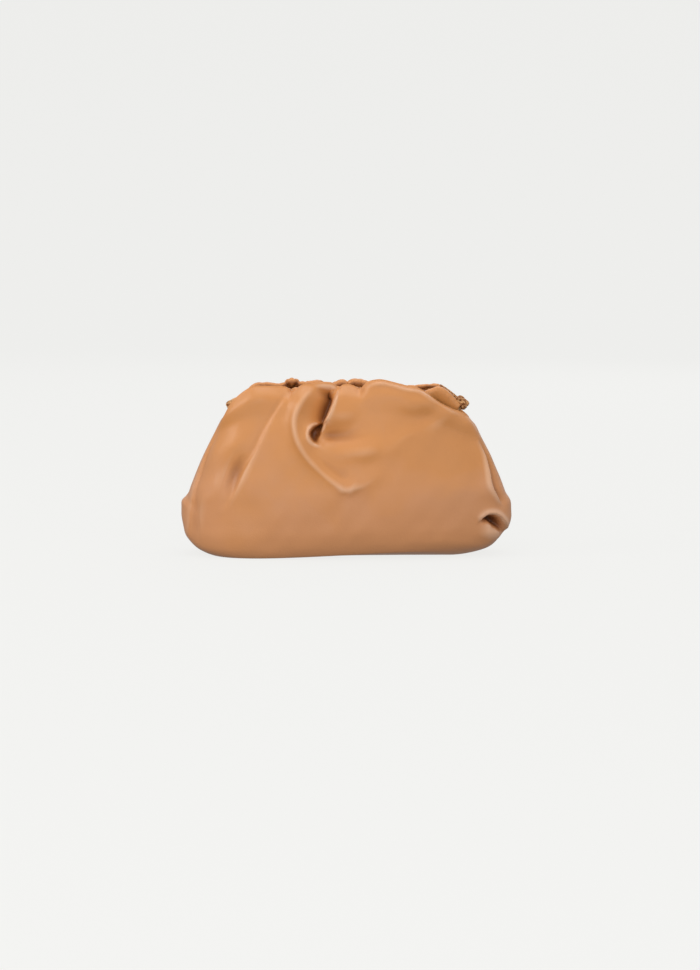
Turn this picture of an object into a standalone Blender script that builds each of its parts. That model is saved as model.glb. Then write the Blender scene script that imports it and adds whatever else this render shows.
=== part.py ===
"""Soft leather pouch bag gathered on a hinged, leather-covered frame.

The pouch is one hollow leather shell, lofted through rings from its flat base to its mouth. The
frame has a front and a back rim, each a top rail with two sloping arms, joined at two hidden hinge
pins. The strap's ends are tied in a knot over each hinge. Metres, +Z up, the front faces -Y.
"""

import math

import bpy
import numpy as np

# Frame: rail, arms and hinges
RAIL_HEIGHT = 0.1188  # ground to the rails' axis
RAIL_LENGTH = 0.1310  # corner to corner along a rail
HINGE_SPAN = 0.1600  # hinge to hinge
FRAME_DROP = 0.0145  # rails' axis down to the hinges
FRAME_SHIFT = 0.0009  # the frame sits this far right of the pouch's middle
BAR_RADIUS = 0.0028  # covered rail and arm
CORNER_ROUND = 0.0080  # length of the bend at each corner of the frame
MOUTH_GAP = 0.0052  # clear gap between the two rails
PIN_RADIUS = 0.0014
PIN_LENGTH = 0.0036  # between the ends of the two rims

# Leather pouch
HALF_WIDTH = 0.1190  # middle to the tip of either bottom corner
EAR_REACH = 0.0042  # how far the bottom corners bulge beyond the panels
FRONT_DEPTH = 0.0450  # middle to the front of the belly
BACK_DEPTH = 0.0430
WALL = 0.0018
MOUTH_END = 0.0022  # room between a hinge and the leather round the mouth's end
FOLD_REACH = 0.0100  # the deepest fold of the leather
ROLL_REACH = 0.0080  # how far the rolled front edge leans out
BASE_LIFT = 0.0042  # the front right of the base lifts off the ground

# Strap knots
KNOT_RADIUS = 0.0034
KNOT_LENGTH = 0.0120  # stretch that lies along the arms
KNOT_TWIST = 0.10  # how far its strands stand out, as a share of its radius
KNOT_TURNS = 2  # turns of its strands from end to end
KNOT_CURL = math.radians(4.0)  # how far its end curls down past the hinge's level
KNOT_BLUNT = 0.07  # share of its length that is left off the tips of its rounded ends
KNOT_FULLNESS = 0.45  # below 1 its body is fuller towards its ends

SEAT_GAP = 0.0003  # clearance between pieces that touch
ROLL_SWELL = 1.12  # the thickest roll of gathered leather, as a share of the bar's radius

# Where the folds, the roll, the ears and the lift of the base fade out
FOLD_FADE_BASE = 0.08  # height above the ground, a share of the rails' height
FOLD_FADE_MOUTH = 0.07  # depth below the mouth's edge, a share of the rails' height
FOLD_FADE_ENDS = 14  # power of the share across: folds end close to the pouch's two ends
EAR_SHARPNESS = 12  # power of the share across: the ears keep to the two ends
LEAN_FROM = 0.67  # the front edge leans out above this share of its height
LIFT_ACROSS = (-0.15, 0.75)  # the lift's start and full height, shares of HALF_WIDTH
LIFT_FORWARD = (0.25, 1.25)  # the same towards the front, shares of FRONT_DEPTH
LIFT_UP = 0.30  # the lift's end up the wall, a share of the rails' height

# Rings from the base's edge up to the mouth. height is a share of the mouth's height above. mouth is
# how far a ring follows the mouth's outline and not the belly's. left, right, front and back are
# shares of that half-size, and the last two are how square its two sides are.
RINGS = (
    # height, mouth, left, right, front, back, left_square, right_square
    (0.000, 0.00, 0.800, 0.680, 0.850, 0.780, 4.2, 3.2),
    (0.050, 0.00, 0.915, 0.870, 0.955, 0.920, 3.4, 2.8),
    (0.120, 0.00, 0.958, 0.925, 0.995, 0.980, 2.9, 2.5),
    (0.210, 0.00, 0.968, 0.962, 1.000, 1.000, 2.6, 2.4),
    (0.320, 0.00, 0.965, 0.965, 0.988, 0.980, 2.4, 2.4),
    (0.375, 0.01, 0.963, 0.966, 0.984, 0.972, 2.4, 2.4),
    (0.420, 0.05, 0.962, 0.975, 0.985, 0.965, 2.4, 2.4),
    (0.530, 0.22, 0.980, 0.985, 1.045, 1.010, 2.3, 2.3),
    (0.670, 0.45, 1.000, 1.000, 1.140, 1.075, 2.3, 2.3),
    (0.820, 0.72, 1.005, 1.010, 1.210, 1.120, 2.6, 2.6),
    (0.940, 0.90, 1.000, 1.003, 1.260, 1.120, 4.5, 4.5),
    (1.000, 1.00, 1.000, 1.000, 1.000, 1.000, 8.0, 8.0),
)

# Bulge of the leather at either bottom corner, up the wall.
EARS = (
    # height, left, right: shares of EAR_REACH
    (0.00, 0.00, 0.00),
    (0.05, 0.20, 0.00),
    (0.14, 0.55, 0.10),
    (0.20, 0.80, 0.80),
    (0.28, 1.00, 1.00),
    (0.38, 0.95, 1.00),
    (0.42, 0.45, 0.55),
    (0.47, 0.00, 0.00),
)

# Mouth edge from left to right. place is 1 at a corner of the frame and 2 at the end of the mouth,
# rise is 0 at the hinges and 1 at the rails' top, and lean is a share of ROLL_REACH outwards.
FRONT_EDGE = (
    # place, rise, lean
    (-2.00, -0.28, 0.00),
    (-1.50, 0.38, 0.00),
    (-1.00, 0.96, 0.00),
    (-0.78, 1.00, 0.10),
    (-0.61, 0.80, 0.00),
    (-0.45, 1.03, 0.20),
    (-0.22, 1.03, 0.20),
    (-0.09, 0.90, 0.00),
    (0.02, 1.00, 0.10),
    (0.15, 0.90, 0.00),
    (0.34, 1.28, 0.80),
    (0.52, 1.18, 1.00),
    (0.80, 0.88, 0.90),
    (1.00, 0.36, 0.75),
    (1.42, 0.05, 0.45),
    (1.80, -0.14, 0.10),
    (2.00, -0.30, 0.00),
)
BACK_EDGE = (
    # place, rise, lean
    (-2.00, -0.28, 0.00),
    (-1.50, 0.20, 0.00),
    (-1.00, 0.80, 0.00),
    (-0.62, 0.84, 0.00),
    (-0.48, 0.88, 0.30),
    (-0.34, 0.84, 0.00),
    (-0.03, 0.84, 0.00),
    (0.20, 0.90, 0.30),
    (0.50, 0.84, 0.05),
    (1.00, 0.78, 0.00),
    (1.50, 0.20, 0.00),
    (2.00, -0.30, 0.00),
)

# Folds of the leather. Each point of a path is a share of HALF_WIDTH, a share of the rails' height
# and the fold's rise there, a share of FOLD_REACH outwards. The widths are shares of HALF_WIDTH on
# the path's left and right hand.
FRONT_FOLDS = (
    # left_width, right_width, path
    (0.035, 0.100, ((-0.32, 0.93, -0.30), (-0.49, 0.73, -0.45), (-0.71, 0.33, -0.60))),
    (0.120, 0.120, ((-0.66, 0.80, 0.15), (-0.80, 0.50, 0.20))),
    (0.085, 0.060, ((-0.25, 0.94, 0.55), (-0.34, 0.78, 0.60), (-0.28, 0.64, 0.50),
                    (-0.15, 0.50, 0.45), (-0.02, 0.40, 0.35), (0.22, 0.47, 0.05))),
    (0.060, 0.070, ((-0.11, 0.93, -0.60), (-0.15, 0.84, -0.80), (-0.16, 0.71, -0.85),
                    (-0.04, 0.67, -0.45), (0.20, 0.69, -0.10))),
    (0.110, 0.110, ((-0.01, 0.58, 0.25), (0.14, 0.59, 0.25))),
    (0.070, 0.070, ((0.29, 0.65, 0.20), (0.60, 0.80, 0.20))),
    (0.060, 0.045, ((0.86, 0.66, -0.20), (0.93, 0.40, -0.30))),
    (0.050, 0.055, ((0.79, 0.18, -0.40), (0.86, 0.21, -0.65), (0.94, 0.15, -0.65))),
    (0.040, 0.040, ((-0.88, 0.36, -0.20), (-0.87, 0.10, -0.15))),
)
BACK_FOLDS = (
    # left_width, right_width, path
    (0.050, 0.080, ((-0.42, 0.94, -0.50), (-0.50, 0.70, -0.40), (-0.62, 0.45, -0.20))),
    (0.075, 0.055, ((-0.10, 0.94, -0.60), (-0.05, 0.75, -0.45), (0.04, 0.56, -0.20))),
    (0.100, 0.080, ((-0.26, 0.88, 0.40), (-0.24, 0.58, 0.20))),
    (0.055, 0.065, ((0.30, 0.94, -0.50), (0.38, 0.74, -0.20))),
    (0.100, 0.120, ((0.18, 0.84, 0.35), (0.24, 0.50, 0.15))),
    (0.065, 0.085, ((0.58, 0.90, -0.50), (0.68, 0.64, -0.35), (0.82, 0.40, -0.25))),
)

# Gathered rolls of the back rim and the softer ones of the front rim: place along the rim, 1 at a
# corner and 2 at a hinge, and thickness as a share of the bar's radius.
BACK_ROLLS = (
    # place, thickness
    (-2.00, 1.00),
    (-1.30, 1.02),
    (-0.75, 0.85),
    (-0.62, 1.12),
    (-0.52, 0.82),
    (-0.34, 1.08),
    (-0.26, 0.80),
    (-0.03, 1.10),
    (0.02, 0.78),
    (0.10, 1.12),
    (0.34, 1.00),
    (0.42, 0.82),
    (0.80, 1.04),
    (1.00, 0.90),
    (1.50, 1.05),
    (2.00, 1.00),
)
FRONT_ROLLS = (
    # place, thickness
    (-2.00, 1.00),
    (-1.40, 1.04),
    (-0.60, 0.84),
    (-0.30, 1.08),
    (0.00, 0.86),
    (0.40, 1.06),
    (0.95, 0.92),
    (1.45, 1.12),
    (2.00, 1.00),
)

# Finish of each material: colour, roughness, metallic
TAN_LEATHER = ((0.54, 0.25, 0.11, 1.0), 0.48, 0.0)
RIM_LEATHER = ((0.50, 0.23, 0.10, 1.0), 0.50, 0.0)
WOVEN_LEATHER = ((0.47, 0.24, 0.11, 1.0), 0.60, 0.0)
PLAIN_BRASS = ((0.62, 0.46, 0.22, 1.0), 0.35, 1.0)

# Resolution of the loft
FRONT_COLUMNS = 58
BACK_COLUMNS = 34
ROWS_PER_RING = 2
BASE_ROWS = 2
END_SPACING = 0.5  # 0 spaces the columns evenly and 1 crowds them at the two ends
RIM_POINTS = 44
KNOT_SIDES = 12
KNOT_STATIONS = 14
STRANDS = 3

# Sizes that follow from those above
BAR_PLACE = MOUTH_GAP / 2 + BAR_RADIUS * ROLL_SWELL  # middle to a rail's axis, front to back
PIN_PLACE = PIN_LENGTH / 2 + SEAT_GAP + BAR_RADIUS  # middle to an arm's axis at the hinge
BAR_REACH = BAR_RADIUS * ROLL_SWELL + SEAT_GAP  # room that a bar needs round its axis
HINGE_HEIGHT = RAIL_HEIGHT - FRAME_DROP
RAIL_TOP = RAIL_HEIGHT + BAR_RADIUS
MOUTH_DEPTH = BAR_PLACE + BAR_REACH + WALL
MOUTH_HALF = HINGE_SPAN / 2 + BAR_REACH + WALL + MOUTH_END


def ease(value):
    """0 below 0, 1 above 1 and a smooth S between them."""
    value = np.clip(value, 0.0, 1.0)
    return value * value * (3.0 - 2.0 * value)


def frame_x(place, end):
    """X of a place along the frame: 0 in the middle, 1 at a corner, 2 at end."""
    corner = RAIL_LENGTH / 2
    along = np.abs(place)
    reach = np.where(along < 1.0, along * corner, corner + (along - 1.0) * (end - corner))
    return FRAME_SHIFT + np.sign(place) * reach


def column_shares(count):
    """Shares from -1 to 1 across the pouch, closer together towards the two ends."""
    even = np.linspace(-1.0, 1.0, count + 1)
    return even + END_SPACING * (np.sin(even * math.pi / 2) - even)


def mouth_edge(shares, edge):
    """Height of the mouth's edge above the ground and its lean outwards, for each column."""
    place, rise, lean = np.array(edge).T
    x = FRAME_SHIFT + shares * MOUTH_HALF
    at = frame_x(place, MOUTH_HALF)
    height = HINGE_HEIGHT + np.interp(x, at, rise) * (RAIL_TOP - HINGE_HEIGHT)
    return height, np.interp(x, at, lean) * ROLL_REACH


def fold_depth(x, z, folds):
    """Sum of all folds: each is a bell across its path, with its own width on each hand."""
    total = np.zeros_like(x)
    for left_width, right_width, path in folds:
        corners = np.array(path) * (HALF_WIDTH, RAIL_TOP, FOLD_REACH)
        nearest = np.full(x.shape, np.inf)
        hand = np.zeros_like(x)
        rise = np.zeros_like(x)
        for start, end in zip(corners[:-1], corners[1:]):
            length = np.hypot(*(end - start)[:2])
            run = (end - start) / length
            off_x, off_z = x - start[0], z - start[1]
            along = np.clip(off_x * run[0] + off_z * run[1], 0.0, length)
            side = run[0] * off_z - run[1] * off_x
            gap = np.hypot(off_x - along * run[0], off_z - along * run[1])
            closer = gap < nearest
            nearest = np.where(closer, gap, nearest)
            hand = np.where(closer, side / np.maximum(gap, SEAT_GAP), hand)
            rise = np.where(closer, start[2] + along * run[2], rise)
        lean = 0.5 + 0.5 * np.clip(hand, -1.0, 1.0)
        width = (right_width + (left_width - right_width) * lean) * HALF_WIDTH
        total += rise * np.exp(-((nearest / width) ** 2))
    return total


def ear_bulge(level, shares):
    """How far out a ring's points move in X to form the bulge at either bottom corner."""
    at, left, right = np.array(EARS).T
    reach = np.where(shares < 0.0, np.interp(level, at, left), np.interp(level, at, right))
    return np.sign(shares) * np.abs(shares) ** EAR_SHARPNESS * reach * EAR_REACH


def side_rings(shares, edge, side):
    """Points of every ring on the front (side -1) or the back (side 1), as [ring, column, xyz]."""
    height, lean = mouth_edge(shares, edge)
    belly_depth = FRONT_DEPTH if side < 0 else BACK_DEPTH
    rings = []
    for level, mouth, left, right, front, back, left_square, right_square in RINGS:
        half = np.where(shares < 0.0, left, right) * (
            mouth * MOUTH_HALF + (1.0 - mouth) * HALF_WIDTH
        )
        depth = (front if side < 0 else back) * (
            mouth * MOUTH_DEPTH + (1.0 - mouth) * belly_depth
        )
        square = left_square + (right_square - left_square) * ease(0.5 + shares)
        outline = (1.0 - np.abs(shares) ** square) ** (1.0 / square)
        x = mouth * FRAME_SHIFT + shares * half + ear_bulge(level, shares)
        y = side * (depth + lean * ease((level - LEAN_FROM) / (1.0 - LEAN_FROM))) * outline
        rings.append(np.stack([x, y, level * height], axis=1))
    return np.array(rings)


def smooth_rows(rings):
    """More rows between the rings, on smooth curves that leave the flat base level."""
    steps = np.linalg.norm(np.diff(rings, axis=0), axis=2).mean(axis=1)[:, None, None]
    secants = np.diff(rings, axis=0) / steps
    slopes = np.empty_like(rings)
    slopes[1:-1] = (secants[:-1] * steps[1:] + secants[1:] * steps[:-1]) / (steps[:-1] + steps[1:])
    slopes[0] = secants[0]
    slopes[0, :, 2] = 0.0
    slopes[-1] = secants[-1]
    rows = []
    for ring, step in enumerate(steps):
        for t in np.arange(ROWS_PER_RING) / ROWS_PER_RING:
            rows.append(
                rings[ring] * (1.0 + 2.0 * t) * (1.0 - t) ** 2
                + slopes[ring] * step * t * (1.0 - t) ** 2
                + rings[ring + 1] * t * t * (3.0 - 2.0 * t)
                + slopes[ring + 1] * step * t * t * (t - 1.0)
            )
    rows.append(rings[-1])
    return np.array(rows)


def add_folds(rows, shares, edge, folds, side):
    """Moves the rows out and in along Y by the folds, which fade at the base, mouth and ends."""
    height, _ = mouth_edge(shares, edge)
    x, z = rows[..., 0], rows[..., 2]
    fade_low = ease(z / (FOLD_FADE_BASE * RAIL_TOP))
    fade_high = ease((height - z) / (FOLD_FADE_MOUTH * RAIL_TOP))
    fade_ends = 1.0 - np.abs(shares) ** FOLD_FADE_ENDS
    rows[..., 1] += side * fade_low * fade_high * fade_ends * fold_depth(x, z, folds)
    return rows


def lift_base(rows):
    """Raises the front right of the base, most at its corner, and fades up the wall."""
    x, y, z = rows[..., 0], rows[..., 1], rows[..., 2]
    across = ease((x / HALF_WIDTH - LIFT_ACROSS[0]) / (LIFT_ACROSS[1] - LIFT_ACROSS[0]))
    forward = ease((-y / FRONT_DEPTH - LIFT_FORWARD[0]) / (LIFT_FORWARD[1] - LIFT_FORWARD[0]))
    rows[..., 2] += BASE_LIFT * across * forward * (1.0 - ease(z / (LIFT_UP * RAIL_TOP)))
    return rows


def pouch_surface():
    """Grid of the pouch's outer surface as [row, column, xyz], columns once round from the left."""
    front_shares = column_shares(FRONT_COLUMNS)
    back_shares = column_shares(BACK_COLUMNS)
    front = smooth_rows(side_rings(front_shares, FRONT_EDGE, -1))
    front = add_folds(front, front_shares, FRONT_EDGE, FRONT_FOLDS, -1)
    back = smooth_rows(side_rings(back_shares, BACK_EDGE, 1))
    back = add_folds(back, back_shares, BACK_EDGE, BACK_FOLDS, 1)
    wall = np.concatenate([front, back[:, -2:0:-1]], axis=1)
    base = [wall[:1] * (step / (BASE_ROWS + 1), step / (BASE_ROWS + 1), 1.0)
            for step in range(1, BASE_ROWS + 1)]
    return lift_base(np.concatenate(base + [wall]))


def new_mesh_object(name, points, faces, collection):
    mesh = bpy.data.meshes.new(name)
    mesh.from_pydata(points, [], faces)
    mesh.validate()
    mesh.shade_smooth()
    obj = bpy.data.objects.new(name, mesh)
    collection.objects.link(obj)
    return obj


def grid_faces(rows, columns):
    """Faces of a grid that is closed round its columns, with row above row."""
    faces = []
    for row in range(rows - 1):
        for column in range(columns):
            after = (column + 1) % columns
            low, high = row * columns, (row + 1) * columns
            faces.append((low + column, low + after, high + after, high + column))
    return faces


def add_pouch(collection):
    """The leather shell: an open lofted surface with a flat base, thickened inwards."""
    surface = pouch_surface()
    rows, columns, _ = surface.shape
    points = surface.reshape(-1, 3).tolist()
    faces = grid_faces(rows, columns)
    centre = len(points)
    points.append((0.0, 0.0, 0.0))
    faces += [(centre, (column + 1) % columns, column) for column in range(columns)]
    pouch = new_mesh_object("pouch_body", points, faces, collection)
    leather = pouch.modifiers.new("Leather wall", "SOLIDIFY")
    leather.thickness = WALL
    leather.offset = -1.0
    leather.use_even_offset = False
    return pouch


def rim_path(side):
    """Axis of a rim, from the left hinge over the two rounded corners to the right hinge."""
    places = np.linspace(-2.0, 2.0, RIM_POINTS)
    x = frame_x(places, HINGE_SPAN / 2)
    down = np.clip(np.abs(places) - 1.0, 0.0, 1.0)
    bend = CORNER_ROUND / (HINGE_SPAN - RAIL_LENGTH)
    soft = np.where(down < bend, down * down / (2.0 * bend), down - bend / 2.0)
    soft = soft / (1.0 - bend / 2.0)
    y = side * (BAR_PLACE + (PIN_PLACE - BAR_PLACE) * soft)
    return places, np.stack([x, y, RAIL_HEIGHT - FRAME_DROP * soft], axis=1)


def add_rim(name, side, rolls, collection):
    """A leather-covered rail and its arms: one tube whose thickness follows the gathered rolls."""
    places, path = rim_path(side)
    at, thickness = np.array(rolls).T
    curve = bpy.data.curves.new(name, "CURVE")
    curve.dimensions = "3D"
    curve.bevel_depth = BAR_RADIUS
    curve.bevel_resolution = 2
    curve.use_fill_caps = True
    spline = curve.splines.new("POLY")
    spline.points.add(len(path) - 1)
    for point, place, (x, y, z) in zip(spline.points, places, path):
        point.co = (x, y, z, 1.0)
        point.radius = float(np.interp(place, at, thickness))
    rim = bpy.data.objects.new(name, curve)
    collection.objects.link(rim)
    return rim


def add_pin(name, hand, collection):
    """A plain hidden pin between the ends of the two rims' arms."""
    bpy.ops.mesh.primitive_cylinder_add(
        vertices=16,
        radius=PIN_RADIUS,
        depth=PIN_LENGTH,
        location=(FRAME_SHIFT + hand * HINGE_SPAN / 2, 0.0, HINGE_HEIGHT),
        rotation=(math.pi / 2, 0.0, 0.0),
    )
    pin = bpy.context.object
    pin.name = name
    for owner in list(pin.users_collection):
        owner.objects.unlink(pin)
    collection.objects.link(pin)
    return pin


def knot_path(hand):
    """The knot's axis: down along the top of the two arms, then curled round the hinge."""
    thick = KNOT_RADIUS * (1.0 + KNOT_TWIST)
    over_bars = math.sqrt((BAR_REACH + thick) ** 2 - PIN_PLACE**2)
    height = max(over_bars, PIN_RADIUS + SEAT_GAP + thick)
    slope = math.atan2(FRAME_DROP, (HINGE_SPAN - RAIL_LENGTH) / 2)
    down = np.array([math.cos(slope), -math.sin(slope)])
    out = np.array([math.sin(slope), math.cos(slope)])
    straight = np.linspace(-KNOT_LENGTH, 0.0, KNOT_STATIONS // 2, endpoint=False)
    path = [along * down + height * out for along in straight]
    for turn in np.linspace(0.0, slope + KNOT_CURL, KNOT_STATIONS - len(path)):
        path.append(height * (math.cos(turn) * out + math.sin(turn) * down))
    path = np.array(path)
    x = FRAME_SHIFT + hand * (HINGE_SPAN / 2 + path[:, 0])
    return np.stack([x, np.zeros(len(path)), HINGE_HEIGHT + path[:, 1]], axis=1)


def add_knot(name, hand, collection):
    """A strap's end knot: a rounded body along the path with strands that wind round it."""
    path = knot_path(hand)
    along = np.gradient(path, axis=0)
    along /= np.linalg.norm(along, axis=1)[:, None]
    side = np.tile((0.0, 1.0, 0.0), (len(path), 1))
    up = np.cross(along, side)
    turn = np.arange(KNOT_SIDES) * 2.0 * math.pi / KNOT_SIDES
    share = np.linspace(0.0, 1.0, KNOT_STATIONS)
    blunt = np.clip(share, KNOT_BLUNT, 1.0 - KNOT_BLUNT)
    body = np.sin(math.pi * blunt) ** KNOT_FULLNESS
    wave = np.cos(STRANDS * turn[None, :] + 2.0 * math.pi * KNOT_TURNS * share[:, None])
    radius = KNOT_RADIUS * body[:, None] * (1.0 + KNOT_TWIST * wave)
    ring = np.cos(turn)[None, :, None] * side[:, None] + np.sin(turn)[None, :, None] * up[:, None]
    points = (path[:, None] + radius[..., None] * ring).reshape(-1, 3).tolist()
    faces = grid_faces(KNOT_STATIONS, KNOT_SIDES)
    last = (KNOT_STATIONS - 1) * KNOT_SIDES
    start, end = len(points), len(points) + 1
    points += [path[0].tolist(), path[-1].tolist()]
    for column in range(KNOT_SIDES):
        after = (column + 1) % KNOT_SIDES
        faces.append((start, after, column))
        faces.append((end, last + column, last + after))
    return new_mesh_object(name, points, faces, collection)


def finish_with(obj, name, finish):
    """Gives the object its own plain material."""
    colour, roughness, metallic = finish
    material = bpy.data.materials.new(name)
    material.use_nodes = True
    shader = material.node_tree.nodes["Principled BSDF"]
    shader.inputs["Base Color"].default_value = colour
    shader.inputs["Roughness"].default_value = roughness
    shader.inputs["Metallic"].default_value = metallic
    material.diffuse_color = colour
    obj.data.materials.clear()
    obj.data.materials.append(material)


def clear_scene():
    for obj in list(bpy.data.objects):
        bpy.data.objects.remove(obj)


def main():
    clear_scene()
    collection = bpy.data.collections.new("Cloud pouch bag")
    bpy.context.scene.collection.children.link(collection)
    finish_with(add_pouch(collection), "Pouch leather", TAN_LEATHER)
    finish_with(add_rim("front_rim", -1, FRONT_ROLLS, collection), "Front rim", RIM_LEATHER)
    finish_with(add_rim("back_rim", 1, BACK_ROLLS, collection), "Back rim", RIM_LEATHER)
    for hand, word in ((-1, "left"), (1, "right")):
        finish_with(add_pin(f"hinge_pin_{word}", hand, collection), f"Pin {word}", PLAIN_BRASS)
        knot = add_knot(f"strap_knot_{word}", hand, collection)
        finish_with(knot, f"Knot {word}", WOVEN_LEATHER)


main()
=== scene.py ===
"""Looks of a soft leather pouch bag: its folded pouch, gathered rims, strap knots and studio.

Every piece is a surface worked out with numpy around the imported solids. Metres in the meshes,
millimetres in the tables. The front faces -Y and +Z is up.
"""

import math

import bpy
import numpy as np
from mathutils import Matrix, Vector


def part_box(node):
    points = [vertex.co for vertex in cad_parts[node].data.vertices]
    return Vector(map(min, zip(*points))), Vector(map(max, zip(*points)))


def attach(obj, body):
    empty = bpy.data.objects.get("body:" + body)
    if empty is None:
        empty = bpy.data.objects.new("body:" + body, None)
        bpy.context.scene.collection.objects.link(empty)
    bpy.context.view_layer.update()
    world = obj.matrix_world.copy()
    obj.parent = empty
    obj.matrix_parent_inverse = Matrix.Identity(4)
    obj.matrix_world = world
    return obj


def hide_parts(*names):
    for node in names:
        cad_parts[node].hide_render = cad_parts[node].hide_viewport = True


bl_info = {
    "name": "Cloud pouch bag",
    "version": (1, 0, 0),
    "blender": (4, 5, 0),
    "location": "View3D > Sidebar > Pouch bag",
    "description": "Makes the folded leather pouch, its gathered rims, strap knots and studio",
    "category": "Add Mesh",
}

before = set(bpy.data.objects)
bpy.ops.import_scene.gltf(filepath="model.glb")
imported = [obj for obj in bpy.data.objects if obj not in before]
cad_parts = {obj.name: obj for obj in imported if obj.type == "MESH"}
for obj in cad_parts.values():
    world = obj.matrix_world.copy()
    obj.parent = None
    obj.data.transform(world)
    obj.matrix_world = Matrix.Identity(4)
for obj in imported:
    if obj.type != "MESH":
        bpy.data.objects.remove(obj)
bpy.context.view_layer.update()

MM = 0.001
PIN_LOW, PIN_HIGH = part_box("hinge_pin_right")
HINGE_X = (PIN_LOW.x + PIN_HIGH.x) / 2 / MM
SIGHT_TILT = math.radians(6.0)  # the camera's height over the level, which sets where folds show

# Frame, in millimetres
FRAME_SHIFT = 0.9
RAIL_HALF = 65.5
HINGE_HALF = HINGE_X - FRAME_SHIFT
BAR_Y = 5.74
PIN_Y = 4.9
MOUTH_DEPTH = 10.97
MOUTH_HALF = 87.4
HALF_WIDTH = 119.0
BELLY = {-1: 45.0, 1: 43.0}
EAR_REACH = 4.2
EAR_SQUARE = 26  # how closely the ears keep to the very ends
EAR_CURL = 0.02  # how much lower the ears lie away from the middle, by the square of y
BASE_LIFT = 10.0
BASE_LIFT_TOP = 36.5
EDGE_FULLNESS = 1.25
DIPS_FROM = 0.90  # share of the height above which the wall follows each dip of its edge
RIM_END = 1.6

# Where the folds fade: in millimetres below the edge, in millimetres above the base, and at the
# two ends by a power of the share across. Then the rise and the drop of the back's gathers.
HOLLOW_FADE = 5.0
RIDGE_FADE = 3.0
BASE_FADE = 9.0
END_FADE = 60
GATHER_RISE = 0.8
GATHER_DROP = 12.0

# Passes of the blurs that tell hollows and crests from what lies round them
HOLLOW_BLUR = 160
CREST_BLUR = 24

# Rings from the base's edge up to the mouth's edge: height is a share of the edge's height above,
# mouth is how far a ring follows the mouth's outline and not the belly's, and the others are shares
# of that half-size and how square the two ends are.
RINGS = (
    # height, mouth, left, right, front, back, left_square, right_square
    (0.000, 0.00, 0.770, 0.640, 0.850, 0.780, 4.2, 3.2),
    (0.050, 0.00, 0.902, 0.855, 0.955, 0.920, 3.4, 2.8),
    (0.120, 0.00, 0.958, 0.925, 0.995, 0.980, 2.9, 2.5),
    (0.210, 0.00, 0.968, 0.962, 1.000, 1.000, 2.6, 2.4),
    (0.320, 0.00, 0.965, 0.965, 0.985, 0.974, 2.4, 2.4),
    (0.375, 0.01, 0.963, 0.966, 0.972, 0.962, 2.4, 2.4),
    (0.420, 0.05, 0.962, 0.975, 0.976, 0.962, 2.4, 2.4),
    (0.530, 0.22, 0.970, 0.988, 1.040, 1.010, 2.3, 2.3),
    (0.670, 0.45, 0.984, 1.000, 1.140, 1.075, 2.3, 2.3),
    (0.820, 0.72, 0.990, 1.006, 1.210, 1.120, 2.6, 2.6),
    (0.940, 0.90, 0.994, 1.000, 1.260, 1.120, 4.5, 4.5),
    (1.000, 1.00, 1.000, 1.000, 1.000, 1.000, 8.0, 8.0),
)
EARS = (
    # z, left, right: shares of EAR_REACH by which the ends of the wall bulge out
    (0.0, 0.00, 0.00),
    (5.0, 0.00, 0.00),
    (13.5, 0.15, 0.10),
    (19.5, 0.40, 0.75),
    (27.5, 0.75, 1.00),
    (36.0, 0.92, 1.00),
    (38.0, 0.90, 0.90),
    (39.8, 0.55, 0.68),
    (41.8, 0.08, 0.36),
    (44.0, 0.00, 0.10),
    (48.0, 0.00, 0.00),
)

# Mouth edge from left to right: x, height and how far it leans outwards
FRONT_EDGE = (
    # x, height, lean
    (-86.5, 98.5, 0),
    (-84.6, 104.6, 0),
    (-82, 108.6, 0),
    (-78, 112.6, 0),
    (-72, 117.2, 0),
    (-66.5, 120.2, 0),
    (-60, 120.5, 0),
    (-50, 120.3, 0.5),
    (-44.6, 120, 0.5),
    (-41.2, 119, 0.2),
    (-38.9, 116.8, 0),
    (-36, 118.4, 0.5),
    (-31, 121.4, 1.2),
    (-25, 121.9, 1.6),
    (-13.7, 121.8, 1.4),
    (-9, 121, 0.8),
    (-5.8, 119.2, 0),
    (-2.5, 121.2, 0.6),
    (1.5, 121.8, 1),
    (6, 120.6, 1.4),
    (10.1, 118.8, 2.4),
    (13, 121.9, 3.6),
    (22, 125.3, 6),
    (33.8, 123.6, 7.6),
    (40.3, 121.8, 8),
    (51.8, 119.4, 8),
    (55.7, 117.3, 7.8),
    (65.5, 110, 6.8),
    (74.9, 104.8, 4.8),
    (83.5, 101.4, 1.6),
    (88.3, 98, 0),
)
BACK_EDGE = (
    # x, height, lean
    (-86.5, 98.5, 0),
    (-77, 107, 0),
    (-65, 117, 0.6),
    (-52, 118.6, 1.6),
    (-41, 120.2, 0.2),
    (-31, 119.6, 2),
    (-20, 118.4, 0.4),
    (-8, 117, 0),
    (4, 119.2, 2),
    (14, 119.8, 2.4),
    (24, 117.2, 0.2),
    (38, 118.8, 1.8),
    (52, 117.6, 0.8),
    (65.5, 116.6, 0.3),
    (77, 107, 0),
    (88.3, 98, 0),
)

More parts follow.
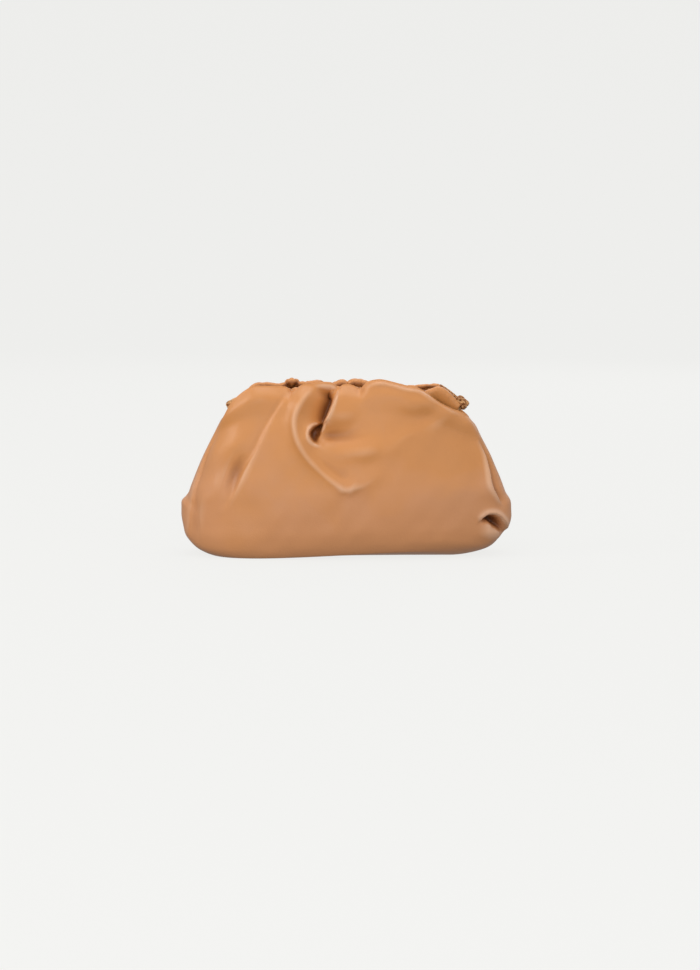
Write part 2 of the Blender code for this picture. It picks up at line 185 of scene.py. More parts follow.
# Folds: edge is how soft the step from one hand to the other is, the two rounds say how blunt the
# fold is on that hand. Each row of the path gives x, z as seen from the camera, then the rise and
# the reach of the fold on its left hand and on its right hand. All paths run up or to the right.
FRONT_FOLDS = (
    # left crease: the panel left of it dips under the next one's edge
    (1.3, 0.8, 1.5, (
        (-87, 29, 0, 7, 0, 9),
        (-80.6, 41.5, -1.6, 6, 0, 8),
        (-73.7, 56.8, -2.2, 7, 0, 8),
        (-64.1, 74.1, -1.6, 6.5, 0, 8),
        (-57.2, 88.6, -1.3, 5.5, 0, 8),
        (-46.8, 106, -1.2, 4.5, 0, 7),
        (-38.9, 116.5, -0.8, 4, 0.3, 6),
    )),
    # soft upright line near the left end
    (1.4, 0.8, 0.8, (
        (-105, 6, 0, 4, 0, 5),
        (-105.3, 20, -0.7, 4, 0.4, 5),
        (-105, 34, -0.6, 4, 0.3, 5),
        (-103.5, 46, 0, 4, 0, 5),
    )),
    # main fold, from its tip up to the rail: a lip over the panel, then a round roll
    (0.4, 0.3, 0.4, (
        (1.5, 43.6, 1, 2, 1, 4.5),
        (-2.4, 45.4, 1.8, 2.8, 1.8, 4.6),
        (-8, 49.8, 2.4, 3.4, 2.4, 4.8),
        (-18.7, 58.9, 2.9, 3.8, 2.9, 5),
        (-29.2, 70.9, 4, 4.2, 4, 5),
        (-35, 83.1, 5.6, 4.2, 5.6, 5),
        (-36.2, 93.7, 6.2, 4.8, 6.2, 5.2),
        (-33.2, 104.2, 6, 5, 6, 5.2),
        (-26.5, 114, 4, 5, 4, 5),
        (-20, 120, 1, 5, 1, 6),
    )),
    # its tail, from the tip to the right
    (0.8, 0.8, 0.6, (
        (-1, 44.6, 0.6, 4, 0.6, 2),
        (5.8, 46, 2, 5, 2, 2),
        (14.4, 49.8, 1.2, 7, 1.2, 3.5),
        (23, 56, 0.5, 7, 0.5, 5),
        (30, 61, 0, 7, 0, 6),
    )),
    # tuck: its floor lies deep on the left hand, under the flap's crisp edge on the right hand
    (0.45, 2.0, 0.5, (
        (-18.8, 86, -2.5, 2.4, 0, 6),
        (-16.8, 91.6, -8.5, 3.6, 1.4, 7),
        (-13.4, 99, -11.5, 4.6, 2.4, 8),
        (-10, 107, -11.5, 5.5, 2.4, 9),
        (-6.9, 115.8, -9, 5.9, 1.6, 10),
        (-5.6, 120, -4, 5.5, 0.6, 10),
    )),
    # hook: the tuck's lower lip, over a second hollow on its right hand
    (0.35, 0.4, 1.5, (
        (-18.5, 77, 0, 1.8, -1, 2.5),
        (-23.4, 80.2, 1.8, 1.9, -5.5, 3),
        (-25.6, 85.6, 3, 1.9, -8.5, 3.7),
        (-23, 90.2, 3, 1.8, -7, 3.7),
        (-16.8, 93, 1.4, 1.6, -3, 3),
    )),
    # shelf: a level valley that runs right from the second hollow
    (1.3, 0.9, 0.8, (
        (-21, 84.6, -2.8, 3.4, -2.8, 3.4),
        (-12, 84, -5.6, 4.6, -5.6, 4.2),
        (0, 84, -4.2, 6.5, -4.2, 5.5),
        (13, 85.4, -1.6, 10, -1.6, 7),
        (27, 88, 0, 12, 0, 8),
    )),
    # valley between the main fold's lower arm and the belly's bulge
    (1.8, 0.8, 0.8, (
        (-27, 82, 0, 3.5, 0, 3.5),
        (-21, 71, -1.8, 4, -1.8, 4),
        (-11, 60.5, -2.2, 4.5, -2.2, 4.5),
        (-2, 54, -1.6, 4.5, -1.6, 4),
        (6, 49.5, 0, 4.5, 0, 4),
    )),
    # slanting ridge on the right
    (2.0, 0.9, 0.9, (
        (26, 72, 0, 6, 0, 8),
        (36, 79, 1.4, 5, 1.4, 8),
        (54, 87, 1.7, 5, 1.7, 8),
        (72, 96, 1.1, 5, 1.1, 8),
        (80, 100, 0, 6, 0, 8),
    )),
    # rolled hem along the shoulder's edge
    (0.8, 0.8, 0.8, (
        (11, 116.6, 0, 3, 0, 3),
        (22, 121.6, 1.6, 3, 1.6, 1.8),
        (33.8, 119.9, 2.2, 3, 2.2, 1.8),
        (40.3, 117.2, 2.2, 3, 2.2, 1.8),
        (51.8, 114.8, 2.2, 3, 2.2, 1.8),
        (57, 111.6, 2.2, 3, 2.2, 1.8),
        (65.5, 105.6, 2, 3, 2, 1.8),
        (74.9, 100.4, 1.5, 3, 1.5, 1.8),
        (84, 96, 0, 3, 0, 2.2),
    )),
    # upright ridge where the front turns to the right end
    (0.5, 0.5, 1.0, (
        (112, 35, 0, 4, -0.8, 2.4),
        (108.8, 40.6, 2, 4, -4.2, 2.6),
        (104.4, 47.5, 3.6, 4, -6, 3.2),
        (102, 59, 3.6, 4, -5.8, 3.4),
        (99.6, 70, 2.2, 4.5, -2.8, 3.4),
        (94, 82, 0, 5, 0, 4),
    )),
    # eye-shaped hollow at the lower right, under its lip on the left hand
    (0.3, 0.5, 1.6, (
        (94.5, 20.8, 0, 2.5, -0.5, 1.5),
        (97.6, 24.2, 1.8, 2.6, -4, 1.8),
        (102.6, 26.8, 3, 2.6, -9.5, 2.3),
        (107.2, 26, 3.6, 2.6, -11.5, 2.6),
        (111.5, 22, 3.2, 2.6, -10.5, 2.4),
        (115.5, 15.6, 1.6, 2.6, -4.5, 2.2),
        (118, 11, 0, 3, -1, 2),
    )),
)
BACK_FOLDS = (
    (0.6, 0.8, 0.7, (
        (-78, 40, 0, 10, 0, 10),
        (-68, 60, -1.4, 9, 1, 10),
        (-57, 84, -2.4, 8, 1.4, 10),
        (-46, 106, -2, 6, 1.2, 8),
        (-41, 117, -1, 4, 0.6, 6),
    )),
    (0.6, 0.5, 0.5, (
        (8, 50, 0, 9, 0, 9),
        (0, 62, 1.6, 9, 1.6, 7),
        (-9, 78, 2.8, 9, 2.8, 6),
        (-15, 94, 3.2, 7, 3.2, 6),
        (-15.5, 110, 2.4, 6, 2.4, 5),
        (-14, 118, 0.8, 6, 0.8, 5),
    )),
    (0.5, 1.4, 0.5, (
        (6, 72, 0, 5, 0, 9),
        (1, 84, -2.5, 5, 0.8, 10),
        (-4, 98, -4.5, 6, 1.4, 10),
        (-7, 112, -3.5, 6, 1, 10),
        (-8, 118, -1.5, 5, 0.5, 8),
    )),
    (0.8, 0.8, 0.6, (
        (46, 58, 0, 9, 0, 9),
        (38, 76, 1.2, 9, -1.2, 7),
        (30, 96, 2, 8, -2.4, 6),
        (25, 112, 1.4, 7, -2.2, 5),
        (24, 118, 0.5, 6, -1, 4),
    )),
    (0.6, 0.6, 0.9, (
        (90, 30, 0, 10, 0, 9),
        (82, 50, 1.2, 11, -1.8, 9),
        (72, 74, 1.6, 11, -2.6, 8),
        (62, 96, 1.4, 9, -2.2, 7),
        (56, 114, 0.8, 7, -1.2, 6),
    )),
    (1.5, 0.9, 0.9, (
        (-40, 36, 0, 12, 0, 12),
        (-10, 44, -0.8, 12, -0.8, 10),
        (24, 40, -0.8, 12, -0.8, 12),
        (52, 34, 0, 12, 0, 12),
    )),
)
# Folds of the two ends, in y and z from the front round to the back
LEFT_END_FOLDS = (
    (0.8, 0.8, 0.8, (
        (-19, 8, 0, 5, 0, 5),
        (-19, 24, -0.8, 5, 0.5, 5),
        (-17, 38, -1.2, 5, 0.5, 5),
        (-13, 52, -1.4, 5, 0.4, 5),
        (-9, 70, -1.4, 4, 0.3, 4),
        (-6, 88, -0.8, 3, 0, 4),
    )),
    (0.8, 0.8, 0.8, (
        (20, 10, 0, 5, 0, 6),
        (19, 30, 0.8, 6, -1.4, 5),
        (14, 50, 0.8, 6, -2, 5),
        (9, 70, 0.4, 5, -1.6, 5),
        (5, 84, 0, 5, 0, 5),
    )),
)
RIGHT_END_FOLDS = (
    (0.8, 0.8, 0.8, (
        (24, 8, 0, 6, 0, 6),
        (22, 26, 0.8, 6, -1.6, 5),
        (17, 44, 0.8, 6, -2.4, 5),
        (11, 62, 0.6, 5, -2.2, 5),
        (6, 82, 0, 5, -0.8, 5),
    )),
)
# Broad swells and dents of the front: centre, reach across and up, turn in degrees and rise
FRONT_SWELLS = (
    # x, z, across, up, turn, rise
    (13, 72.5, 17, 7.5, 6, 3),
    (-80, 58, 4.4, 13, -24, -2.6),
    (-2, 98, 12, 7, 10, 2),
    (57, 99, 9, 6, 20, -1.2),
    (46, 104, 10, 6, 0, 0.8),
    (84, 70, 14, 16, 0, 0.8),
    (-92, 66, 9, 22, -24, 0.5),
    (-60, 112, 10, 6, 0, 0.8),
    (104, 13, 9, 4.5, 20, 2),
    (-45, 66, 14, 14, 0, 0.5),
)
BACK_SWELLS = (
    (-30, 92, 10, 16, 10, 1.4),
    (14, 100, 9, 12, 0, 1.4),
    (48, 84, 14, 14, 20, 1),
    (-70, 96, 12, 12, -30, 0.8),
    (0, 28, 60, 14, 0, 0.6),
)

# Rims from the left hinge to the right one: x, how high the top of the roll stands, and its
# radius. Grooves pinch a roll all round: x, depth as a share of the radius, width, and how far
# the groove slants from the outer side to the inner side.
BACK_ROLLS = (
    # x, top, radius
    (-78.5, 108, 2.8),
    (-72, 115, 2.9),
    (-65.5, 121.6, 2.6),
    (-58, 122.7, 2.4),
    (-46, 122.2, 2.4),
    (-38.9, 126, 3.5),
    (-32, 123.5, 2.9),
    (-26, 123.6, 3.1),
    (-18.4, 124.1, 3.4),
    (-14, 121.9, 2.8),
    (-7, 123.2, 3.1),
    (-1.4, 124.4, 3.3),
    (0.9, 122, 2.9),
    (3.4, 124.2, 3.4),
    (15.8, 123.5, 3.4),
    (22, 122, 3),
    (34, 122.2, 3.1),
    (46, 120.6, 2.6),
    (54, 121, 1.9),
    (61, 121.5, 1.8),
    (66, 121.4, 2.4),
    (69, 119.4, 3),
    (74, 115.6, 3),
    (80.5, 107.2, 2.8),
)
BACK_GROOVES = (
    # x, depth, width, slant
    (-70, 0.16, 1.6, 1.2),
    (-60, 0.14, 1.4, -2),
    (-43.5, 0.34, 1.2, 1.6),
    (-40.2, 0.30, 0.8, -2.4),
    (-37.4, 0.34, 0.8, 2.2),
    (-34, 0.36, 1.2, -1.5),
    (-29, 0.18, 1, 2.4),
    (-16.2, 0.48, 1.2, -1.8),
    (-10, 0.20, 1, 1.6),
    (0.9, 0.55, 1.1, 0.8),
    (8, 0.12, 1.2, -2.2),
    (18.5, 0.40, 1.3, 1.6),
    (27, 0.22, 1, -1.6),
    (31, 0.26, 1.1, 1.4),
    (43, 0.38, 1.3, -1.6),
    (50, 0.20, 1, 2),
    (60, 0.22, 1.2, -1.2),
    (72, 0.18, 1.4, 1.4),
)
FRONT_ROLLS = (
    # x, top, radius
    (-78.5, 108, 2.8),
    (-72, 114.6, 2.8),
    (-65.5, 119.6, 2.8),
    (-52, 119.6, 2.8),
    (-39, 119.4, 2.7),
    (-28, 121.2, 3),
    (-15, 121, 3),
    (-6, 119.6, 2.7),
    (2, 121, 2.9),
    (10, 119.8, 2.8),
    (24, 121.4, 3),
    (40, 119.6, 3),
    (48, 116.6, 2.8),
    (55, 116.6, 2.8),
    (61, 118.8, 3),
    (66.5, 120.4, 3.1),
    (70, 118.6, 3.1),
    (76, 112.8, 3.1),
    (80.5, 107.4, 2.8),
)
FRONT_GROOVES = (
    # x, depth, width, slant
    (-68, 0.14, 1.6, 1),
    (-46, 0.22, 1.2, 1.6),
    (-38.9, 0.42, 1.2, -1.2),
    (-34, 0.22, 1, 2),
    (-20, 0.20, 1, -2),
    (-5.8, 0.44, 1.2, 1.2),
    (-1.5, 0.20, 0.9, -1.8),
    (10.1, 0.44, 1.2, -1.4),
    (18, 0.24, 1.2, 1.8),
    (32, 0.26, 1.2, -1.8),
    (47, 0.24, 1.2, 1.6),
    (63, 0.10, 1.2, -1),
)

# How far the leather hangs below the rims' rolls
FRONT_SKIRT = (
    # x, drop
    (-90, 0),
    (46, 0),
    (58, 3),
    (68, 5.5),
    (76, 4),
    (82, 0.5),
    (90, 0),
)
BACK_SKIRT = (
    # x, drop
    (-90, 0),
    (90, 0),
)

# The strap's braided tails: where each starts and the middle of the knot at its end
KNOT_ENDS = {
    "left": ((-69.0, 1.0, 113.8), (-80.8, 0.8, 106.9)),
    "right": ((67.6, -0.6, 121.0), (83.0, -0.9, 108.4)),
}

BRAID_SPREAD = 1.25
BRAID_TURNS = 2.6
BRAID_BOW = 0.7
KNOT_HALF = 4.1
KNOT_BIGHTS = 7

# Studio, in metres
DISH_FLAT = 3.0
DISH_ROUND = 1.2
DISH_WALL = 3.5
LIGHTS_AIM = (0.0, 0.0, 0.06)
LIGHTS = {
    # name: place, width, height, tone, shines on surfaces, shows in gloss
    "key": ((-1.6, -0.55, 0.95), 0.8, 0.8, (1.0, 0.985, 0.96), True, False),
    "top": ((0.1, 0.25, 1.7), 1.6, 1.2, (1.0, 1.0, 1.0), True, True),
    "glint": ((-1.5, -0.4, 1.4), 0.7, 0.7, (1.0, 1.0, 1.0), False, True),
    "front": ((-0.45, -1.8, 0.7), 1.4, 1.2, (1.0, 1.0, 1.0), True, False),
    "fill": ((1.3, -1.5, 0.5), 1.4, 1.2, (0.96, 0.98, 1.0), True, False),
    "back": ((0.5, 1.9, 1.0), 1.6, 1.2, (1.0, 1.0, 1.0), True, True),
}
SENSOR = 36.0
CAMERA_SPAN = 0.504  # the width that the picture shows at the object
CAMERA_AIM = (0.0029, 0.0, 0.0488)

# Resolution
FRONT_COLUMNS = 300
FRONT_FOCUS = 1.2
BACK_COLUMNS = 160
WALL_ROWS = 150
LINING_ROWS = 38
EDGE_ROWS = 6
BASE_ROWS = 6
FOLD_SAMPLES = 120
LINING_SPREAD = 4
RIM_STEPS = 560
RIM_SIDES = 28
BRAID_STEPS = 70
KNOT_STEPS = 260
DISH_SIDES = 96


def ease(value):
    """0 below 0, 1 above 1 and a smooth S between them."""
    value = np.clip(value, 0.0, 1.0)
    return value * value * (3.0 - 2.0 * value)


def unit(vectors):
    """Vectors drawn out or in to length 1."""
    return vectors / np.maximum(np.linalg.norm(vectors, axis=-1, keepdims=True), 1e-9)


def smooth_at(values, knots, at, level_start=False):
    """The smooth curve through the values at the knots, read at the places in at.

    Between two knots it is a cubic Hermite piece, and its slope at a knot is the mean of the chords
    on both sides, each weighted by the other's length. With level_start it leaves without climbing.
    """
    values, knots, at = np.asarray(values, float), np.asarray(knots, float), np.asarray(at, float)
    widen = (-1,) + (1,) * (values.ndim - 1)
    steps = np.diff(knots)
    chords = np.diff(values, axis=0) / steps.reshape(widen)
    before, after = steps[:-1].reshape(widen), steps[1:].reshape(widen)
    inner = (chords[:-1] * after + chords[1:] * before) / (before + after)
    slopes = np.concatenate([chords[:1], inner, chords[-1:]])
    if level_start:
        slopes[0, ..., 2] = 0.0
    at = np.clip(at, knots[0], knots[-1])
    piece = np.clip(np.searchsorted(knots, at, side="right") - 1, 0, len(steps) - 1)
    t = ((at - knots[piece]) / steps[piece]).reshape(at.shape + (1,) * (values.ndim - 1))
    step = steps[piece].reshape(t.shape)
    return (
        values[piece] * (1.0 + 2.0 * t) * (1.0 - t) ** 2
        + slopes[piece] * step * t * (1.0 - t) ** 2
        + values[piece + 1] * t * t * (3.0 - 2.0 * t)
        + slopes[piece + 1] * step * t * t * (t - 1.0)
    )


def read_table(table, x):
    """The other columns of a table, smooth along its first one."""
    table = np.array(table, float)
    return np.moveaxis(smooth_at(table[:, 1:], table[:, 0], x), -1, 0)


def even_steps(weights, count):
    """Places from 0 to 1, count + 1 of them, closer together where the weights are higher."""
    total = np.concatenate([[0.0], np.cumsum(weights)])
    return np.interp(np.linspace(0.0, total[-1], count + 1), total, np.linspace(0, 1, len(total)))


def column_shares(count, depth, focus):
    """Shares from -1 to 1 across the pouch, even along a superellipse and denser in its middle.

    The arc's length is summed over fine steps, each weighted by 1 + focus times a bell round the
    middle, and the columns are spaced evenly along the sum.
    """
    turn = np.linspace(-math.pi / 2, math.pi / 2, 4001)
    share = np.sin(turn)
    across = HALF_WIDTH * share
    out = depth * (1.0 - np.abs(share) ** 2.4) ** (1.0 / 2.4)
    middle = (share[1:] + share[:-1]) / 2
    weights = np.hypot(np.diff(across), np.diff(out)) * (
        1.0 + focus * np.exp(-(((middle + 0.10) / 0.34) ** 2))
    )
    return np.sin((even_steps(weights, count) - 0.5) * math.pi)


def side_rings(shares, edge, side):
    """Every ring's points on the front (side -1) or the back (side 1), as [ring, column, xyz].

    A ring is a superellipse: y = depth * (1 - |share| ** square) ** (1 / square), with x, depth and
    square blended from the belly to the mouth. The dips of the mouth's edge show only above
    DIPS_FROM, and further down the height follows their mean.
    """
    x = FRAME_SHIFT + shares * MOUTH_HALF
    fine = read_table(edge, x)
    broad = np.mean([read_table(edge, x + step) for step in np.linspace(-15, 15, 11)], axis=0)
    rings = []
    for level, mouth, left, right, front, back, left_square, right_square in RINGS:
        half = np.where(shares < 0.0, left, right) * (mouth * MOUTH_HALF + (1 - mouth) * HALF_WIDTH)
        depth = (front if side < 0 else back) * (mouth * MOUTH_DEPTH + (1 - mouth) * BELLY[side])
        square = left_square + (right_square - left_square) * ease(0.5 + shares)
        outline = (1.0 - np.abs(shares) ** square) ** (1.0 / square)
        x = mouth * FRAME_SHIFT + shares * half
        height, lean = broad + (fine - broad) * ease((level - DIPS_FROM) / (1.0 - DIPS_FROM))
        y = side * (depth + lean * ease(3.0 * level - 2.0)) * outline
        rings.append(np.stack([x, y, level * height], axis=1))
    return np.array(rings)


def loft(rings, at):
    """Rows at the places at, from 0 to 1, on smooth curves through the rings."""
    steps = np.linalg.norm(np.diff(rings, axis=0), axis=2).mean(axis=1)
    knots = np.concatenate([[0.0], np.cumsum(steps)]) / steps.sum()
    return smooth_at(rings, knots, at, level_start=True)


def fold_height(x, z, folds):
    """Sum of the folds at the points (x, z).

    Each fold has a smooth path. A point's signed distance s from it picks the hand, blended by
    0.5 + 0.5 * tanh(s / edge), and each hand adds rise * exp(round - sqrt((s / reach)**2 + round**2)).
    Past an end of the path the fold fades over its reach.
    """
    total = np.zeros_like(x)
    for edge, round_left, round_right, path in folds:
        path = np.array(path, float)
        chords = np.hypot(np.diff(path[:, 0]), np.diff(path[:, 1]))
        knots = np.concatenate([[0.0], np.cumsum(chords)])
        at = np.linspace(0.0, knots[-1], FOLD_SAMPLES)
        line = smooth_at(path, knots, at)
        run = np.gradient(line[:, :2], axis=0)
        spacing = np.hypot(run[:, 0], run[:, 1])
        run /= spacing[:, None]
        most = 5.0 * path[:, (3, 5)].max()
        near = (
            (x > line[:, 0].min() - most)
            & (x < line[:, 0].max() + most)
            & (z > line[:, 1].min() - most)
            & (z < line[:, 1].max() + most)
        )
        px, pz = x[near], z[near]
        gap = np.hypot(px[:, None] - line[None, :, 0], pz[:, None] - line[None, :, 1])
        pick = gap.argmin(axis=1)
        off_x, off_z = px - line[pick, 0], pz - line[pick, 1]
        along = off_x * run[pick, 0] + off_z * run[pick, 1]
        side = run[pick, 0] * off_z - run[pick, 1] * off_x
        place = pick + along / spacing[pick]
        past = np.maximum(np.maximum(-place, place - (FOLD_SAMPLES - 1)), 0.0) * spacing[pick]
        index = np.arange(FOLD_SAMPLES)
        place = np.clip(place, 0, FOLD_SAMPLES - 1)
        rise_l, reach_l, rise_r, reach_r = (np.interp(place, index, line[:, k]) for k in (2, 3, 4, 5))
        left = 0.5 + 0.5 * np.tanh(side / edge)
        bell_l = np.exp(round_left - np.sqrt((side / reach_l) ** 2 + round_left**2))
        bell_r = np.exp(round_right - np.sqrt((side / reach_r) ** 2 + round_right**2))
        fold = left * rise_l * bell_l + (1.0 - left) * rise_r * bell_r
        total[near] += fold * np.exp(-((past / np.maximum(reach_l, reach_r)) ** 2))
    return total


def swell_height(x, z, swells):
    """Sum of broad bells: rise * exp(-(a / across)**2 - (b / up)**2) in axes turned by turn."""
    total = np.zeros_like(x)
    for centre_x, centre_z, across, up, turn, rise in swells:
        c, s = math.cos(math.radians(turn)), math.sin(math.radians(turn))
        a = (x - centre_x) * c + (z - centre_z) * s
        b = (z - centre_z) * c - (x - centre_x) * s
        total += rise * np.exp(-((a / across) ** 2) - (b / up) ** 2)
    return total


def ripple(points, waves):
    """A gentle unevenness: the sum of sines of the position, each wave with its own direction."""
    total = np.zeros(points.shape[:-1])
    for wx, wy, wz, phase, size in waves:
        total += size * np.sin((points @ np.array([wx, wy, wz])) * 2.0 * math.pi + phase)
    return total


RIPPLES = (
    # waves per millimetre in x, y, z, then phase and size
    (0.021, 0.006, 0.013, 0.3, 0.16),
    (-0.013, 0.011, 0.027, 1.9, 0.14),
    (0.034, -0.017, 0.022, 4.1, 0.09),
    (0.043, 0.021, -0.038, 2.7, 0.06),
    (-0.062, 0.019, 0.041, 5.2, 0.035),
)


def grid_normals(grid):
    """Unit normals of a grid that is closed round its columns, facing out of the pouch."""
    up = np.gradient(grid, axis=0)
    round_ = np.roll(grid, -1, axis=1) - np.roll(grid, 1, axis=1)
    return unit(np.cross(round_, up))


def spread_least(field, reach):
    """The lowest value within reach cells along both directions of a grid closed in its columns."""
    least = field.copy()
    for shift in range(-reach, reach + 1):
        least = np.minimum(least, np.roll(field, shift, axis=1))
    padded = np.pad(least, ((reach, reach), (0, 0)), mode="edge")
    return np.min([padded[k : k + len(field)] for k in range(2 * reach + 1)], axis=0)


def blur(field, times):
    """Field smoothed along both directions of a grid that is closed round its columns."""
    for _ in range(times):
        field = (np.roll(field, 1, axis=1) + 2.0 * field + np.roll(field, -1, axis=1)) / 4.0
        padded = np.pad(field, ((1, 1), (0, 0)), mode="edge")
        field = (padded[:-2] + 2.0 * padded[1:-1] + padded[2:]) / 4.0
    return field


def wall_grid():
    """The smooth wall [row, column, xyz], each column's share across, and which are on the front.

    Rows run up from the base, closer together above a third of the way. Columns run once round,
    front first from the left. At the ends x grows by EAR_REACH * |share| ** EAR_SQUARE and the
    table's share at the height z + EAR_CURL * y ** 2.
    """
    front_shares = column_shares(FRONT_COLUMNS, BELLY[-1], FRONT_FOCUS)
    back_shares = column_shares(BACK_COLUMNS, BELLY[1], 0.0)[::-1][1:-1]
    levels = np.linspace(0.0, 1.0, 2000)
    at = even_steps(1.0 + 0.9 * ease((levels - 0.35) / 0.2), WALL_ROWS - 1)
    front = loft(side_rings(front_shares, FRONT_EDGE, -1), at)
    back = loft(side_rings(back_shares, BACK_EDGE, 1), at)
    wall = np.concatenate([front, back], axis=1)
    shares = np.concatenate([front_shares, back_shares])
    ear_at, *ears = np.array(EARS).T
    for hand, ear in zip((-1, 1), ears):
        weight = hand * np.clip(hand * shares, 0.0, 1.0) ** EAR_SQUARE * EAR_REACH
        lobe = wall[..., 2] + EAR_CURL * wall[..., 1] ** 2
        wall[..., 0] += weight * np.interp(lobe, ear_at, ear)
    return wall, shares, np.arange(len(shares)) < len(front_shares)


def wall_folds(wall, shares, is_front):
    """How far the leather rises from each point of the wall, below 0 where it sinks.

    Folds and swells of the front, the back and the two ends are summed with a gentle ripple and,
    on the back, gathers: GATHER_RISE * sin(0.70 * x + 1.3 * sin(0.11 * x)), fading down the wall.
    """
    x, y, z = wall[..., 0], wall[..., 1], wall[..., 2]
    seen = z + y * math.tan(SIGHT_TILT)
    folds = np.zeros_like(x)
    for part, height, paths, swells in (
        (is_front, seen, FRONT_FOLDS, FRONT_SWELLS),
        (~is_front, z, BACK_FOLDS, BACK_SWELLS),
    ):
        place = x[:, part], height[:, part]
        folds[:, part] = fold_height(*place, paths) + swell_height(*place, swells)
    folds *= 1.0 - np.abs(shares) ** END_FADE
    for hand, paths in ((-1, LEFT_END_FOLDS), (1, RIGHT_END_FOLDS)):
        end = ease((hand * x / HALF_WIDTH - 0.62) / 0.22) * (hand * shares > 0.55)
        folds += end * fold_height(y, z, paths)
    folds += ripple(wall, RIPPLES)
    below = np.maximum(z[-1] - z, 0.0)
    gathers = np.sin(0.70 * x + 1.3 * np.sin(0.11 * x)) * np.exp(-((below / GATHER_DROP) ** 2))
    folds += np.where(is_front, 0.0, GATHER_RISE) * gathers
    fade = np.where(folds < 0.0, ease(below / HOLLOW_FADE), ease(below / RIDGE_FADE + 0.15))
    return folds * fade * ease(z / BASE_FADE)


def wall_relief(folds):
    """What the leather's painted shade and painted highlight follow: below 0 in hollows, which get
    painted shade, up to 1 on crests, which get a painted highlight.

    A hollow is how far the folds lie below their broad blur, at most 0.3 mm more than they sink. A
    crest is how far they lie above their narrow blur.
    """
    hollow = np.clip(folds - blur(folds, HOLLOW_BLUR), np.minimum(folds, 0.0) - 0.3, 0.0)
    return hollow + np.clip(folds - blur(folds, CREST_BLUR), 0.0, 1.0)


def drawn_in(ring, shares):
    """Copies of a ring drawn in towards the Z axis to each share of its size, at its own height."""
    return ring * np.stack([shares, shares, np.ones_like(shares)], axis=-1)[:, None]


def pouch_grid(settings):
    """The whole shell as one grid [row, column, xyz] in millimetres, with its relief per point.

    Rows run from the middle of the base out and up the wall, over the rolled edge, down the lining
    and in to the middle of the inner floor. The folds move the wall along its flattened normals,
    and the lining lies one thickness further in and clear of the deepest hollow near it.
    """
    wall, shares, is_front = wall_grid()
    folds = blur(wall_folds(wall, shares, is_front) * settings.fold_strength, 1)
    outwards = grid_normals(wall)
    flatter = unit(outwards * (1.0, 1.0, 0.35))
    outer = wall + flatter * folds[..., None]
    thick = settings.wall / MM
    inner = wall - outwards * thick + flatter * blur(spread_least(folds, LINING_SPREAD), 3)[..., None]
    inner[..., 2] = np.maximum(inner[..., 2], thick)

    middle, reach = (outer[-1] + inner[-1]) / 2, (outer[-1] - inner[-1]) / 2
    turn = (np.arange(1, EDGE_ROWS) / EDGE_ROWS * math.pi)[:, None, None]
    tall = np.linalg.norm(reach, axis=1)[None, :, None] * np.array([0.0, 0.0, EDGE_FULLNESS])
    edge = middle + reach * np.cos(turn) + tall * np.sin(turn)
    lining = inner[np.round(np.linspace(WALL_ROWS - 1, 0, LINING_ROWS)).astype(int)]
    base = drawn_in(outer[0], np.arange(1, BASE_ROWS + 1) / (BASE_ROWS + 1))
    floor = drawn_in(lining[-1], np.arange(BASE_ROWS - 1, 0, -1) / BASE_ROWS)
    grid = lift_base(np.concatenate([base, outer, edge, lining, floor]))
    marks = np.zeros(grid.shape[:2])
    marks[BASE_ROWS : BASE_ROWS + WALL_ROWS] = wall_relief(folds)
    return grid, marks


def lift_base(grid):
    """Raises the front right of the base, most at its corner, and fades up the wall."""
    x, y, z = grid[..., 0], grid[..., 1], grid[..., 2]
    share = ease((x / HALF_WIDTH + 0.70) / 1.55) * ease(-y / BELLY[-1] - 0.25)
    lifted = grid.copy()
    lifted[..., 2] += BASE_LIFT * share * (1.0 - ease(z / BASE_LIFT_TOP))
    return lifted


def wrapped_faces(rows, columns):
    """Four-sided faces of a grid that is closed round its columns."""
    row, column = np.meshgrid(np.arange(rows - 1), np.arange(columns), indexing="ij")
    after = (column + 1) % columns
    low, high = row * columns, (row + 1) * columns
    return np.stack([low + column, low + after, high + after, high + column], axis=-1).reshape(-1, 4)


def fan_faces(tip, first, columns):
    """Three-sided faces from the point tip to the ring of points that begins at first."""
    ring = np.arange(columns)
    return np.stack([np.full(columns, tip), first + (ring + 1) % columns, first + ring], axis=-1)


def new_object(name, points, faces):
    """An object with a smooth-shaded mesh of the points and faces, linked to the scene."""
    mesh = bpy.data.meshes.new(name)
    mesh.from_pydata(points.tolist(), [], faces)
    mesh.shade_smooth()
    mesh.update()
    obj = bpy.data.objects.new(name, mesh)
    bpy.context.scene.collection.objects.link(obj)
    return obj


def closed_mesh(name, grid, marks=None):
    """A closed surface from a grid [row, column, xyz] in millimetres, closed round its columns.

    The first and the last row each close to a point. The marks become the attribute relief.
    """
    rows, columns, _ = grid.shape
    points = np.concatenate([grid.reshape(-1, 3), [grid[0].mean(axis=0)], [grid[-1].mean(axis=0)]])
    start, end = rows * columns, rows * columns + 1
    faces = wrapped_faces(rows, columns).tolist() + fan_faces(start, 0, columns).tolist()
    faces += fan_faces(end, (rows - 1) * columns, columns)[:, ::-1].tolist()
    obj = new_object(name, points * MM, faces)
    if marks is not None:
        values = np.concatenate([marks.reshape(-1), [0.0, 0.0]]).astype(np.float32)
        obj.data.attributes.new("relief", "FLOAT", "POINT").data.foreach_set("value", values)
    return obj


def joined_mesh(name, grids):
    """One object from several closed grids, each a closed surface of its own."""
    parts = [closed_mesh(f"{name}_{k}", grid) for k, grid in enumerate(grids)]
    with bpy.context.temp_override(
        active_object=parts[0], object=parts[0], selected_objects=parts, selected_editable_objects=parts
    ):
        bpy.ops.object.join()
    parts[0].name = parts[0].data.name = name
    return parts[0]


